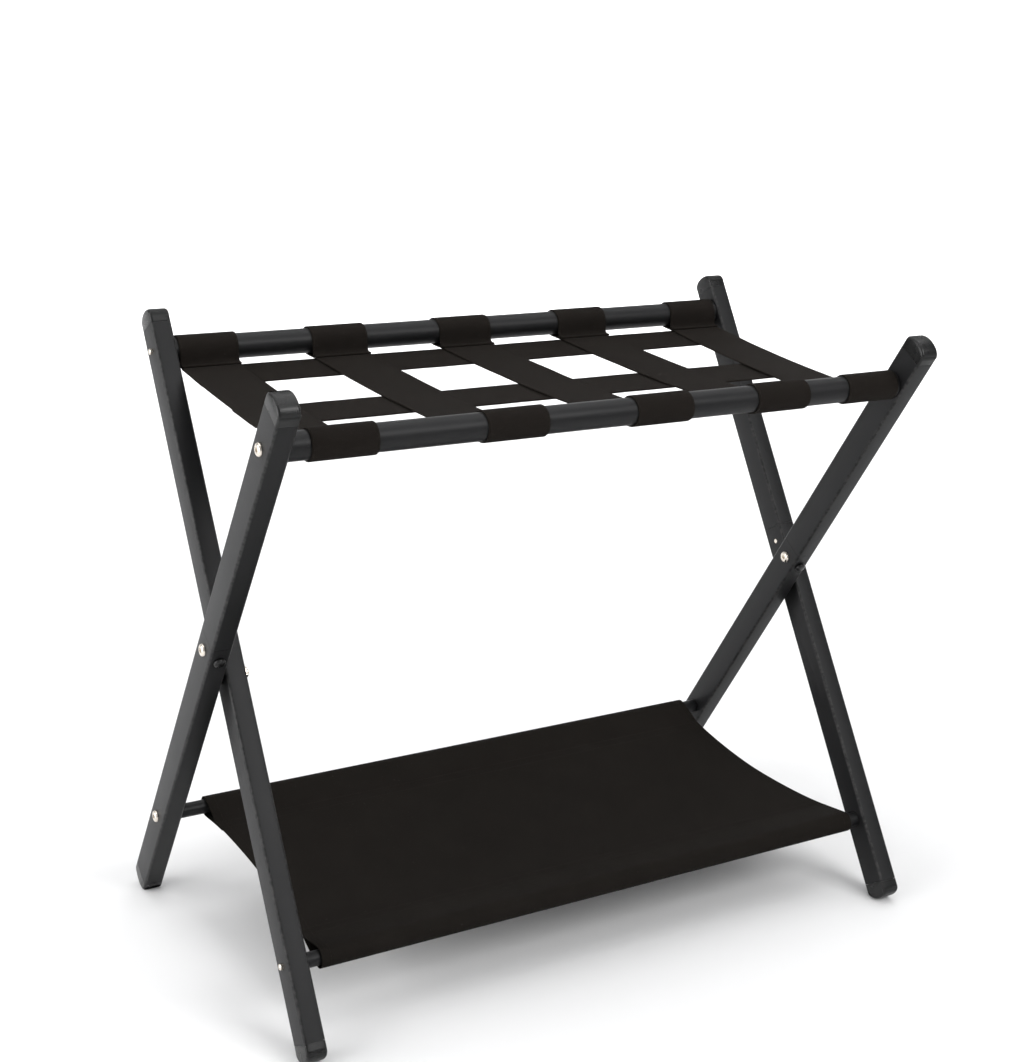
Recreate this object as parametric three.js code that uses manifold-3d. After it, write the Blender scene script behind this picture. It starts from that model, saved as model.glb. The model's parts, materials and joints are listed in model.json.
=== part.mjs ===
// Folding luggage rack: two crossed steel leg frames on a pair of pivots, webbing straps
// between the top rails and a canvas shelf between the bottom rods.
// Millimetres, +Z up, -Y is the front, origin on the floor at the middle of the rack.
import * as THREE from "three";
import { mergeVertices } from "three/addons/utils/BufferGeometryUtils.js";
import Module from "manifold-3d";

const wasm = await Module();
wasm.setup();

// ---- Driving dimensions -------------------------------------------------------------
const overallHeight = 609.6;
const overallWidth = 700.6; // across the outer faces of the two outer legs
const legTilt = THREE.MathUtils.degToRad(32.8); // each leg from vertical, fully open
const pivotHeight = 300.5;

const legDepth = 30; // wide face of the leg tube, seen from the side
const legThickness = 20; // narrow face of the leg tube, seen from the front
const legWall = 1.5;
const legCorner = 2.5;
const legGap = 5; // between the crossing legs of the two frames

const capSkirt = 8; // straight part of a cap beyond the end of its tube
const capRise = 8.5; // dome of a cap above its skirt
const capPlugDepth = 18;
const capSideBevel = 3;

const jointSeam = 62; // seam between the two leg tubes, above the pivot
const jointBoltHeight = 46; // bolt through the lower tube and the sleeve, above the pivot
const sleeveBelowSeam = 42;
const sleeveAboveSeam = 48;
const sleeveWall = 1.5;

const buttonRadius = 5.5;
const buttonRise = 4;
const buttonStemRadius = 3;

const railRadius = 12.5;
const railWall = 1.5;
const rodRadius = 7.2;
const rodWall = 1.2;
const insertLength = 22;
const backRailDrop = 25; // rail centre below the end of the leg tube
const frontRailDrop = 39;
const frontRodRise = 69.6; // rod centre above the lower end of the leg tube
const backRodRise = 109;

const boltRadius = 3;
const boltHeadRadius = 6;
const boltHeadHeight = 2.8;
const socketRadius = 2.2; // hexagon recess in a bolt head
const socketDepth = 1.6;
const railBoltReach = 14; // of the bolt into the insert

const studFlangeRadius = 6.5;
const studFlangeHeight = 2;
const spacerRadius = 8;
const nutRadius = 5.6;
const nutHeight = 5;
const studEnd = 1.2; // stud standing out of its nut

const strapWidth = 60;
const strapThickness = 1.8;
const strapEndGap = 3; // least gap between a leg and the edge of a strap
const frontStrapShares = [0.029, 0.31, 0.575, 0.809, 1]; // from the leftmost to the rightmost place
const backStrapShares = [0, 0.24, 0.489, 0.741, 1];
const frontBandInset = 122; // from the rail centre to the near edge of a lengthwise strap
const backBandInset = 15;

const shelfThickness = 1.4;
const shelfSeamReach = 34; // from the rod centre to the seam that closes the casing
const shelfWaist = 8; // how far the side edges curve in
const shelfFrontEndGaps = [14, 13]; // bare rod at the left and the right end
const shelfBackEndGaps = [30, 19];

// ---- Clearances ---------------------------------------------------------------------
const clearance = 0.3; // between touching pieces
const runningClearance = 0.08; // pivot stud in the holes of the turning leg
const clothClearance = 0.4; // strap round a rail, and between crossing straps
const casingClearance = 2.2; // shelf casing round its rod

// ---- Worked out from the above ------------------------------------------------------
const capReach = Math.hypot(capRise * Math.cos(legTilt), (legDepth / 2) * Math.sin(legTilt));
const upperReach = (overallHeight - pivotHeight - capReach) / Math.cos(legTilt);
const upperLength = upperReach - capSkirt - clearance;
const lowerReach = (pivotHeight - capReach) / Math.cos(legTilt);
const lowerLength = lowerReach - capSkirt - clearance;
const outerLegX = overallWidth / 2 - legThickness / 2;
const innerLegX = outerLegX - legThickness - legGap;
const railLength = outerLegX + innerLegX - legThickness;
const railShift = (innerLegX - outerLegX) / 2; // rail centre of the front-rail frame
const boreDepth = legDepth - 2 * legWall;
const boreThickness = legThickness - 2 * legWall;

// ---- Sides of the round shapes --------------------------------------------------------
const railSides = 40;
const rodSides = 28;
const wrapSides = 32;
const casingSteps = 9;
const domeSteps = 20;
const insertSides = 24;
const holeSides = 20;
const turnedSides = 12;
const studSides = 24;
const spacerSides = 28;
const nutSides = 6;
const boreSides = 32;

// ---- Materials ----------------------------------------------------------------------
const finishes = {
  paint: { color: 0x1d1d1f, roughness: 0.42, metalness: 0.1 },
  nickel: { color: 0xb9b3a6, roughness: 0.28, metalness: 1.0 },
  plastic: { color: 0x161617, roughness: 0.45, metalness: 0.0 },
  zinc: { color: 0x8d9094, roughness: 0.45, metalness: 1.0 },
  webbing: { color: 0x26211d, roughness: 0.9, metalness: 0.0 },
  canvas: { color: 0x211d1a, roughness: 0.92, metalness: 0.0 },
};

function meshOf(name, geometry, finish) {
  const mesh = new THREE.Mesh(geometry, new THREE.MeshStandardMaterial(finishes[finish]));
  mesh.name = name;
  return mesh;
}

// ---- Solids that are joined and cut -------------------------------------------------
const xAxis = new THREE.Vector3(1, 0, 0);
const yAxis = new THREE.Vector3(0, 1, 0);
const zAxis = new THREE.Vector3(0, 0, 1);

function solidOf(geometry) {
  const bare = geometry.index ? geometry.toNonIndexed() : geometry.clone();
  bare.deleteAttribute("normal");
  bare.deleteAttribute("uv");
  const merged = mergeVertices(bare, 1e-4);
  return new wasm.Manifold(
    new wasm.Mesh({
      numProp: 3,
      vertProperties: new Float32Array(merged.attributes.position.array),
      triVerts: new Uint32Array(merged.index.array),
    }),
  );
}

function geometryOf(solid) {
  const mesh = solid.getMesh();
  const geometry = new THREE.BufferGeometry();
  geometry.setAttribute("position", new THREE.BufferAttribute(mesh.vertProperties, 3));
  geometry.setIndex(new THREE.BufferAttribute(mesh.triVerts, 1));
  geometry.computeVertexNormals();
  return geometry;
}

// A cylinder along X between two stations.
function cylinderX(radius, fromX, toX, sides) {
  const geometry = new THREE.CylinderGeometry(radius, radius, toX - fromX, sides);
  return geometry.rotateZ(-Math.PI / 2).translate((fromX + toX) / 2, 0, 0);
}

// A flat outline drawn in Y and Z, given its thickness along X about x = 0.
function extrudeAlongX(shape, thickness, curveSegments) {
  const geometry = new THREE.ExtrudeGeometry(shape, {
    depth: thickness,
    bevelEnabled: false,
    curveSegments,
  });
  geometry.translate(0, 0, -thickness / 2);
  const axes = new THREE.Matrix4().makeBasis(yAxis, zAxis, xAxis);
  return geometry.applyMatrix4(axes);
}

function roundedRectangle(width, height, corner) {
  const shape = new THREE.Shape();
  const x = width / 2 - corner;
  const y = height / 2 - corner;
  shape.moveTo(-x, -y - corner);
  shape.absarc(x, -y, corner, -Math.PI / 2, 0, false);
  shape.absarc(x, y, corner, 0, Math.PI / 2, false);
  shape.absarc(-x, y, corner, Math.PI / 2, Math.PI, false);
  shape.absarc(-x, -y, corner, Math.PI, 1.5 * Math.PI, false);
  return shape;
}

// A rectangular tube between two heights: outline is the outside, bore the inside.
function rectangularTube(outline, bore, from, to) {
  const shape = outline.clone();
  shape.holes.push(bore);
  const geometry = new THREE.ExtrudeGeometry(shape, {
    depth: to - from,
    bevelEnabled: false,
    curveSegments: 1,
  });
  return geometry.translate(0, 0, from);
}

// ---- Leg frame pieces, in the frame's own axes: z along the leg, pivot at z = 0 -------
function boltHole(z, radius) {
  return solidOf(cylinderX(radius, -legThickness, legThickness, holeSides).translate(0, 0, z));
}

function legTube(from, to) {
  const outline = roundedRectangle(legThickness, legDepth, legCorner);
  const bore = roundedRectangle(boreThickness, boreDepth, legCorner - legWall / 2);
  return rectangularTube(outline, bore, from, to);
}

function upperLeg(railStation) {
  const tube = legTube(jointSeam + clearance / 2, upperLength);
  return geometryOf(solidOf(tube).subtract(boltHole(railStation, boltRadius + clearance)));
}

function buttonHole() {
  const radius = buttonStemRadius + clearance;
  const hole = new THREE.CylinderGeometry(radius, radius, legDepth / 2, holeSides);
  return solidOf(hole.translate(0, -legDepth / 2, jointBoltHeight));
}

function lowerLeg(rodStation, pivotRadius, withButton) {
  const tube = legTube(-lowerLength, jointSeam - clearance / 2);
  let solid = solidOf(tube)
    .subtract(boltHole(rodStation, boltRadius + clearance))
    .subtract(boltHole(jointBoltHeight, boltRadius + clearance))
    .subtract(boltHole(0, pivotRadius));
  if (withButton) {
    solid = solid.subtract(buttonHole());
  }
  return geometryOf(solid);
}

// The sleeve inside both tubes, which carries the joint.
function legSleeve(withButton) {
  const thickness = boreThickness - 2 * clearance;
  const depth = boreDepth - 2 * clearance;
  const corner = legCorner - clearance;
  const outline = roundedRectangle(thickness, depth, corner);
  const boreCorner = corner - sleeveWall / 2;
  const bore = roundedRectangle(thickness - 2 * sleeveWall, depth - 2 * sleeveWall, boreCorner);
  const tube = rectangularTube(outline, bore, jointSeam - sleeveBelowSeam, jointSeam + sleeveAboveSeam);
  let solid = solidOf(tube).subtract(boltHole(jointBoltHeight, boltRadius + clearance));
  if (withButton) {
    solid = solid.subtract(buttonHole());
  }
  return geometryOf(solid);
}

// A moulded cap: a dome over the tube end and a plug inside it. It stands on z = 0, dome up.
function legCap() {
  const outline = roundedRectangle(legThickness, legDepth, legCorner);
  const shell = new THREE.ExtrudeGeometry(outline, {
    depth: capSkirt + capRise,
    bevelEnabled: false,
    curveSegments: 3,
  });
  const side = new THREE.Shape();
  side.moveTo(-legDepth / 2, 0);
  side.lineTo(legDepth / 2, 0);
  side.lineTo(legDepth / 2, capSkirt);
  side.absellipse(0, capSkirt, legDepth / 2, capRise, 0, Math.PI, false, 0);
  const dome = solidOf(extrudeAlongX(side, legThickness, domeSteps));
  const half = legThickness / 2;
  const shoulder = capSkirt + capRise - capSideBevel;
  const front = new THREE.Shape();
  front.moveTo(-half, -legWall);
  front.lineTo(half, -legWall);
  front.lineTo(half, shoulder);
  front.lineTo(half - capSideBevel, shoulder + capSideBevel);
  front.lineTo(capSideBevel - half, shoulder + capSideBevel);
  front.lineTo(-half, shoulder);
  const bevel = new THREE.ExtrudeGeometry(front, { depth: 2 * legDepth, bevelEnabled: false });
  bevel.translate(0, 0, -legDepth).rotateX(Math.PI / 2);
  const plugOutline = roundedRectangle(
    boreThickness - 2 * clearance,
    boreDepth - 2 * clearance,
    legCorner,
  );
  const plug = new THREE.ExtrudeGeometry(plugOutline, {
    depth: capPlugDepth + capSkirt,
    bevelEnabled: false,
    curveSegments: 1,
  });
  plug.translate(0, 0, -capPlugDepth);
  const head = solidOf(shell).intersect(dome).intersect(solidOf(bevel));
  return geometryOf(head.add(solidOf(plug)));
}

// A pan-headed bolt along +X: underside of the head at x = 0, shank on the +X side.
function bolt(length) {
  const profile = [
    new THREE.Vector2(0, -boltHeadHeight),
    new THREE.Vector2(boltHeadRadius * 0.6, -boltHeadHeight),
    new THREE.Vector2(boltHeadRadius * 0.88, -boltHeadHeight * 0.75),
    new THREE.Vector2(boltHeadRadius, -boltHeadHeight * 0.35),
    new THREE.Vector2(boltHeadRadius, 0),
    new THREE.Vector2(boltRadius, 0),
    new THREE.Vector2(boltRadius, length - 1),
    new THREE.Vector2(boltRadius - 0.8, length),
    new THREE.Vector2(0, length),
  ];
  const body = new THREE.LatheGeometry(profile, turnedSides).rotateZ(-Math.PI / 2);
  const socket = cylinderX(socketRadius, -boltHeadHeight - 1, socketDepth - boltHeadHeight, 6);
  return geometryOf(solidOf(body).subtract(solidOf(socket)));
}

function jointButton() {
  const stemDepth = 2 * legWall + clearance + 1;
  const profile = [
    new THREE.Vector2(0, -stemDepth),
    new THREE.Vector2(buttonStemRadius, -stemDepth),
    new THREE.Vector2(buttonStemRadius, clearance),
    new THREE.Vector2(buttonRadius, clearance),
    new THREE.Vector2(buttonRadius, buttonRise * 0.45),
    new THREE.Vector2(buttonRadius * 0.85, buttonRise * 0.8),
    new THREE.Vector2(buttonRadius * 0.5, buttonRise),
    new THREE.Vector2(0, buttonRise),
  ];
  return new THREE.LatheGeometry(profile, turnedSides);
}

// A round tube along X with open ends, centred on x = 0.
function roundTube(radius, wall, length, sides) {
  const outside = solidOf(cylinderX(radius, -length / 2, length / 2, sides));
  const bore = solidOf(cylinderX(radius - wall, -length, length, sides));
  return geometryOf(outside.subtract(bore));
}

// The threaded insert in a rail or rod end, centred on x = 0.
function endInsert(radius) {
  const outside = solidOf(cylinderX(radius, -insertLength / 2, insertLength / 2, insertSides));
  const thread = solidOf(cylinderX(boltRadius + clearance, -insertLength, insertLength, holeSides));
  return geometryOf(outside.subtract(thread));
}

// ---- Pivot pieces, along +X ----------------------------------------------------------
// The stud's flange bears on the inside of its leg's wall, at x = 0.
function pivotStud(length) {
  const profile = [
    new THREE.Vector2(0, -studFlangeHeight),
    new THREE.Vector2(studFlangeRadius, -studFlangeHeight),
    new THREE.Vector2(studFlangeRadius, 0),
    new THREE.Vector2(boltRadius, 0),
    new THREE.Vector2(boltRadius, length - 0.6),
    new THREE.Vector2(boltRadius - 0.6, length),
    new THREE.Vector2(0, length),
  ];
  return new THREE.LatheGeometry(profile, studSides).rotateZ(-Math.PI / 2);
}

function ring(radius, bore, length, sides) {
  const outside = solidOf(cylinderX(radius, 0, length, sides));
  return geometryOf(outside.subtract(solidOf(cylinderX(bore, -1, length + 1, boreSides))));
}

// ---- One leg with all that is on it ---------------------------------------------------
// headSide is -1 or +1: the side of the leg, along X, that shows the head of the joint bolt.
function leg(name, x, headSide, railStation, rodStation, pivotRadius, withButton) {
  const group = new THREE.Group();
  group.position.x = x;
  group.add(meshOf(`${name}_upper_leg`, upperLeg(railStation), "paint"));
  group.add(meshOf(`${name}_lower_leg`, lowerLeg(rodStation, pivotRadius, withButton), "paint"));
  group.add(meshOf(`${name}_leg_sleeve`, legSleeve(withButton), "zinc"));
  const jointBolt = meshOf(`${name}_joint_bolt`, bolt(legThickness + 2 * clearance), "nickel");
  jointBolt.position.set(headSide * (legThickness / 2 + clearance), 0, jointBoltHeight);
  jointBolt.rotation.z = headSide > 0 ? Math.PI : 0;
  group.add(jointBolt);
  const topCap = meshOf(`${name}_top_cap`, legCap(), "plastic");
  topCap.position.z = upperLength + clearance;
  group.add(topCap);
  const footCap = meshOf(`${name}_foot_cap`, legCap(), "plastic");
  footCap.position.z = -lowerLength - clearance;
  footCap.rotation.y = Math.PI;
  group.add(footCap);
  if (withButton) {
    const button = meshOf(`${name}_joint_button`, jointButton(), "plastic");
    button.position.set(0, -legDepth / 2, jointBoltHeight);
    button.rotation.x = Math.PI;
    group.add(button);
  }
  return group;
}

// A cross bar between the two legs of a frame, with an insert and a bolt at each end.
function crossBar(name, station, radius, wall, sides) {
  const group = new THREE.Group();
  group.position.set(railShift, 0, station);
  group.add(meshOf(name, roundTube(radius, wall, railLength - 2 * clearance, sides), "paint"));
  for (const [end, side] of [["left", -1], ["right", 1]]) {
    const insert = meshOf(`${name}_${end}_insert`, endInsert(radius - wall - clearance), "zinc");
    insert.position.x = side * (railLength / 2 - clearance - insertLength / 2);
    group.add(insert);
    const endBolt = meshOf(`${name}_${end}_bolt`, bolt(legThickness + railBoltReach), "nickel");
    endBolt.position.x = side * (railLength / 2 + legThickness + clearance);
    endBolt.rotation.z = side > 0 ? Math.PI : 0;
    group.add(endBolt);
  }
  return group;
}

// A whole frame with its top at the front. Its outer leg is on the left and its inner leg on
// the right. The other frame is the same, turned half round about Z.
function legFrame(names, railDrop, rodRise, pivotRadius, withButtons) {
  const railStation = upperLength - railDrop;
  const rodStation = rodRise - lowerLength;
  const group = new THREE.Group();
  group.rotation.x = legTilt;
  group.add(leg(names.outer, -outerLegX, -1, railStation, rodStation, pivotRadius, withButtons));
  group.add(leg(names.inner, innerLegX, -1, railStation, rodStation, pivotRadius, withButtons));
  group.add(crossBar(names.rail, railStation, railRadius, railWall, railSides));
  group.add(crossBar(names.rod, rodStation, rodRadius, rodWall, rodSides));
  const turned = new THREE.Group();
  turned.add(group);
  return turned;
}

// One pivot: the stud in the left leg of a crossing pair, the spacer, and the nut on the right leg.
function pivot(side, leftLegX) {
  const group = new THREE.Group();
  const wallInside = leftLegX + legThickness / 2 - legWall;
  const rightFace = leftLegX + legThickness / 2 + legGap + legThickness;
  group.rotation.x = legTilt;
  const nutSeat = rightFace + clearance;
  const stud = meshOf(
    `${side}_pivot_stud`,
    pivotStud(nutSeat + nutHeight + studEnd - wallInside + clearance),
    "nickel",
  );
  stud.position.x = wallInside - clearance;
  const spacer = meshOf(
    `${side}_pivot_spacer`,
    ring(spacerRadius, boltRadius + clearance, legGap - 2 * clearance, spacerSides),
    "plastic",
  );
  spacer.position.x = leftLegX + legThickness / 2 + clearance;
  const nutShape = ring(nutRadius, boltRadius + clearance, nutHeight, nutSides);
  const nut = meshOf(`${side}_pivot_nut`, nutShape, "nickel");
  nut.position.x = nutSeat;
  group.add(stud, spacer, nut);
  return group;
}

// ---- Cloth ---------------------------------------------------------------------------
// Where the centre of a rail or rod lies, in Y and Z, from its station along its leg.
// topSide is -1 for the frame whose top is at the front and +1 for the other.
function barCentre(station, topSide) {
  return new THREE.Vector2(
    topSide * station * Math.sin(legTilt),
    pivotHeight + station * Math.cos(legTilt),
  );
}

// A many-sided prism along X with a flat on top, its flats at the given reach from the axis.
function flatToppedPrism(reach, width) {
  const halfSide = Math.PI / wrapSides;
  const prism = cylinderX(reach / Math.cos(halfSide), -width / 2, width / 2, wrapSides);
  return prism.rotateX(halfSide);
}

// A strap that lies under two parallel bars and wraps once round each, in the strap's own
// axes: y from bar to bar about the middle, z up, width along X.
function wrappedBand(span, barRadius, thickness, width) {
  const inside = barRadius + clothClearance;
  const slab = new THREE.BoxGeometry(width, span, thickness);
  let solid = solidOf(slab.translate(0, 0, -inside - thickness / 2));
  for (const at of [-span / 2, span / 2]) {
    const loop = flatToppedPrism(inside + thickness, width);
    solid = solid.add(solidOf(loop.translate(0, at, 0)));
    const hollow = flatToppedPrism(inside, 2 * width);
    solid = solid.subtract(solidOf(hollow.translate(0, at, 0)));
  }
  return geometryOf(solid);
}

// The outline of a casing drawn to a point: round a bar at (at, 0), tip towards inward.
function casingOutline(at, inward, radius, tipReach) {
  const spread = Math.acos(radius / tipReach);
  const outline = new THREE.Shape();
  const start = inward > 0 ? spread : Math.PI - spread;
  const end = inward > 0 ? 2 * Math.PI - spread : Math.PI + spread;
  outline.moveTo(at + inward * tipReach, 0);
  outline.absarc(at, 0, radius, start, end, inward < 0);
  outline.lineTo(at + inward * tipReach, 0);
  return outline;
}

// A panel of cloth with a casing round each of two parallel bars, in the same axes.
function casedPanel(span, barRadius, seamReach, thickness, width) {
  const inside = barRadius + casingClearance;
  const outside = inside + thickness;
  const tip = seamReach - thickness;
  let solid = solidOf(new THREE.BoxGeometry(width, span - 2 * tip, thickness));
  for (const inward of [1, -1]) {
    const at = (-inward * span) / 2;
    const casing = casingOutline(at, inward, outside, seamReach + thickness);
    solid = solid.add(solidOf(extrudeAlongX(casing, width, casingSteps)));
    const hollow = casingOutline(at, inward, inside, tip);
    solid = solid.subtract(solidOf(extrudeAlongX(hollow, 2 * width, casingSteps)));
  }
  return geometryOf(solid);
}

// Slides each point along X in proportion to its place between the bars.
function shearAlongX(geometry, shift, span) {
  const slanted = new THREE.Vector3(shift / span, 1, 0);
  return geometry.applyMatrix4(new THREE.Matrix4().makeBasis(xAxis, slanted, zAxis));
}

// A group whose y axis runs from the front bar to the back bar, with its origin midway.
function bandAxes(front, back) {
  const group = new THREE.Group();
  group.position.set(0, (front.x + back.x) / 2, (front.y + back.y) / 2);
  group.rotation.x = Math.atan2(back.y - front.y, back.x - front.x);
  return group;
}

function luggageDeck(front, back) {
  const group = bandAxes(front, back);
  const span = front.distanceTo(back);
  const free = railLength - strapWidth - 2 * strapEndGap;
  const frontX = frontStrapShares.map((share) => railShift + free * (share - 0.5));
  const backX = backStrapShares.map((share) => free * (share - 0.5) - railShift);
  frontX.forEach((x, index) => {
    const shift = backX[index] - x;
    const band = wrappedBand(span, railRadius, strapThickness, strapWidth);
    const strap = meshOf(`cross_strap_${index + 1}`, shearAlongX(band, shift, span), "webbing");
    strap.position.x = (x + backX[index]) / 2;
    group.add(strap);
  });
  const last = frontX.length - 1;
  const edgeX = (index, y) => THREE.MathUtils.lerp(frontX[index], backX[index], 0.5 + y / span);
  const nearEdges = {
    front_long_strap: frontBandInset - span / 2,
    back_long_strap: span / 2 - backBandInset - strapWidth,
  };
  for (const [name, near] of Object.entries(nearEdges)) {
    const far = near + strapWidth;
    const outline = new THREE.Shape();
    outline.moveTo(edgeX(0, near) - strapWidth / 2, near);
    outline.lineTo(edgeX(last, near) + strapWidth / 2, near);
    outline.lineTo(edgeX(last, far) + strapWidth / 2, far);
    outline.lineTo(edgeX(0, far) - strapWidth / 2, far);
    const strap = new THREE.ExtrudeGeometry(outline, { depth: strapThickness, bevelEnabled: false });
    strap.translate(0, 0, -railRadius - 2 * (clothClearance + strapThickness));
    group.add(meshOf(name, strap, "webbing"));
  }
  return group;
}

// The plan of the shelf with its curved side edges, as an upright prism that trims the cloth.
function shelfPlan(span, frontX, backX) {
  const plan = new THREE.Shape();
  const front = -span / 2 - 2 * rodRadius;
  const back = span / 2 + 2 * rodRadius;
  plan.moveTo(frontX[0], front);
  plan.lineTo(frontX[1], front);
  plan.lineTo(frontX[1], -span / 2 + shelfSeamReach);
  const middleRight = (frontX[1] + backX[1]) / 2 - 2 * shelfWaist;
  plan.quadraticCurveTo(middleRight, 0, backX[1], span / 2 - shelfSeamReach);
  plan.lineTo(backX[1], back);
  plan.lineTo(backX[0], back);
  plan.lineTo(backX[0], span / 2 - shelfSeamReach);
  const middleLeft = (frontX[0] + backX[0]) / 2 + 2 * shelfWaist;
  plan.quadraticCurveTo(middleLeft, 0, frontX[0], -span / 2 + shelfSeamReach);
  plan.lineTo(frontX[0], front);
  const depth = 8 * rodRadius;
  const prism = new THREE.ExtrudeGeometry(plan, { depth, bevelEnabled: false, curveSegments: 10 });
  return solidOf(prism.translate(0, 0, -depth / 2));
}

function canvasShelf(front, back) {
  const group = bandAxes(front, back);
  const span = front.distanceTo(back);
  const frontEnds = [-railShift - railLength / 2, -railShift + railLength / 2];
  const backEnds = [railShift - railLength / 2, railShift + railLength / 2];
  const frontX = [frontEnds[0] + shelfFrontEndGaps[0], frontEnds[1] - shelfFrontEndGaps[1]];
  const backX = [backEnds[0] + shelfBackEndGaps[0], backEnds[1] - shelfBackEndGaps[1]];
  const width = railLength + legThickness;
  const panel = solidOf(casedPanel(span, rodRadius, shelfSeamReach, shelfThickness, width));
  const trimmed = panel.intersect(shelfPlan(span, frontX, backX));
  group.add(meshOf("canvas_shelf", geometryOf(trimmed), "canvas"));
  return group;
}

// ---- Assembly ------------------------------------------------------------------------
const rack = new THREE.Group();

const frontRailNames = {
  outer: "front_frame_left",
  inner: "front_frame_right",
  rail: "front_top_rail",
  rod: "back_bottom_rod",
};
const fixedHole = boltRadius + clearance;
const frontRailFrame = legFrame(frontRailNames, frontRailDrop, backRodRise, fixedHole, true);
frontRailFrame.position.z = pivotHeight;
rack.add(frontRailFrame);

const backRailNames = {
  outer: "back_frame_right",
  inner: "back_frame_left",
  rail: "back_top_rail",
  rod: "front_bottom_rod",
};
const runningHole = boltRadius + runningClearance;
const backRailFrame = legFrame(backRailNames, backRailDrop, frontRodRise, runningHole, false);
backRailFrame.position.z = pivotHeight;
backRailFrame.rotation.z = Math.PI;
rack.add(backRailFrame);

const leftPivot = pivot("left", -outerLegX);
leftPivot.position.z = pivotHeight;
rack.add(leftPivot);
const rightPivot = pivot("right", innerLegX);
rightPivot.position.z = pivotHeight;
rack.add(rightPivot);

const frontRail = barCentre(upperLength - frontRailDrop, -1);
const backRail = barCentre(upperLength - backRailDrop, 1);
rack.add(luggageDeck(frontRail, backRail));

const frontRod = barCentre(frontRodRise - lowerLength, 1);
const backRod = barCentre(backRodRise - lowerLength, -1);
rack.add(canvasShelf(frontRod, backRod));

export default rack;
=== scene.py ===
import bisect
import json
import math

import bmesh
import bpy
from mathutils import Matrix, Quaternion, Vector, noise


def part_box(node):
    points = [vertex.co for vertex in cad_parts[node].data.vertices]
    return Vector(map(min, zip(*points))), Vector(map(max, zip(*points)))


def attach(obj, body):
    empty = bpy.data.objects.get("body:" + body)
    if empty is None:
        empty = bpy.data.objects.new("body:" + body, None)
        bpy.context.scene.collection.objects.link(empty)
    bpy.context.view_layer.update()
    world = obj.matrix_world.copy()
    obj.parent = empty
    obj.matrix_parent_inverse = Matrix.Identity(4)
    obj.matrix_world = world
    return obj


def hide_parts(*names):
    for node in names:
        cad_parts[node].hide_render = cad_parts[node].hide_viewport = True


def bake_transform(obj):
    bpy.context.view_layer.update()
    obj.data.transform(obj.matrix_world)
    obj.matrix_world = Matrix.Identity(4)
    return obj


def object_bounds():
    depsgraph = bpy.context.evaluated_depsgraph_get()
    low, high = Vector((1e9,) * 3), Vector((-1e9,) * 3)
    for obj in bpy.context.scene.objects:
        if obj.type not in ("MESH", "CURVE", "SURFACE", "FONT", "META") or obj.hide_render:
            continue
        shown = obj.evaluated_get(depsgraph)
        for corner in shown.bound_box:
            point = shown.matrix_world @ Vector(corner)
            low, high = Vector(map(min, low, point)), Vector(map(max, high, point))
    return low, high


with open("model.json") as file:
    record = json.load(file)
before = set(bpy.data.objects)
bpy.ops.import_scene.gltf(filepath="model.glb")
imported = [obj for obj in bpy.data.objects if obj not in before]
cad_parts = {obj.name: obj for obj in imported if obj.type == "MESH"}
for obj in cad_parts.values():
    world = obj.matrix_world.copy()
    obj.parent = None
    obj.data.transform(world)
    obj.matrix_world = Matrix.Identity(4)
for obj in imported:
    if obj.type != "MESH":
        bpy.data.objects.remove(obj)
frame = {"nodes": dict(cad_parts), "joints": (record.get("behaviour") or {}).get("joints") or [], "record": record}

cad_low, cad_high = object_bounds()
scene = bpy.context.scene

# ---- Camera ----------------------------------------------------------------------------
# A view from the front left, a little above the deck, with a moderately long lens.
camera = bpy.data.objects.new("camera", bpy.data.cameras.new("camera"))
camera.location = (-0.8496, -1.4416, 0.9188)
camera.rotation_mode = "QUATERNION"
heading = Quaternion((0, 0, 1), math.radians(-30.87))
tilt = Quaternion((1, 0, 0), math.radians(90 - 16.42))
roll = Quaternion((0, 0, 1), math.radians(2.12))
camera.rotation_quaternion = heading @ tilt @ roll
camera.data.lens = 59.67
camera.data.shift_x = -0.0241
camera.data.shift_y = -0.0233
scene.collection.objects.link(camera)
scene.camera = camera

# ---- Floor and studio light ------------------------------------------------------------
# A pale seamless floor that sweeps up far behind. Softboxes stand on the left, overhead and in
# front, and one behind lights only the floor beyond the rack.
scene.view_settings.view_transform = "Standard"
floor_half = 24.0
sweep_start = 7.0
sweep_steepness = 0.16
floor_mesh = bmesh.new()
bmesh.ops.create_grid(floor_mesh, x_segments=60, y_segments=60, size=floor_half)
for vert in floor_mesh.verts:
    beyond = max(0.0, vert.co.xy.length - sweep_start)
    vert.co.z = sweep_steepness * beyond * beyond
for face in floor_mesh.faces:
    face.smooth = True
floor = bpy.data.objects.new("floor", bpy.data.meshes.new("floor"))
floor_mesh.to_mesh(floor.data)
floor_mesh.free()
floor.location.z = cad_low.z
scene.collection.objects.link(floor)
floor_paint = bpy.data.materials.new("pale_floor")
floor_paint.use_nodes = True
floor_shader = floor_paint.node_tree.nodes["Principled BSDF"]
floor_shader.inputs["Base Color"].default_value = (0.86, 0.86, 0.86, 1)
floor_shader.inputs["Roughness"].default_value = 0.9
floor_shader.inputs["Specular IOR Level"].default_value = 0.05
floor.data.materials.append(floor_paint)

world = bpy.data.worlds.new("studio")
world.use_nodes = True
world.node_tree.nodes["Background"].inputs["Color"].default_value = (0.97, 0.98, 1.0, 1)
world.node_tree.nodes["Background"].inputs["Strength"].default_value = 0.7
scene.world = world


def softbox(name, place, target, width, height, watts):
    lamp = bpy.data.lights.new(name, "AREA")
    lamp.shape = "RECTANGLE"
    lamp.size = width
    lamp.size_y = height
    lamp.energy = watts
    holder = bpy.data.objects.new(name, lamp)
    holder.location = place
    holder.rotation_mode = "QUATERNION"
    aim = Vector(target) - Vector(place)
    holder.rotation_quaternion = aim.to_track_quat("-Z", "Y")
    scene.collection.objects.link(holder)


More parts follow.
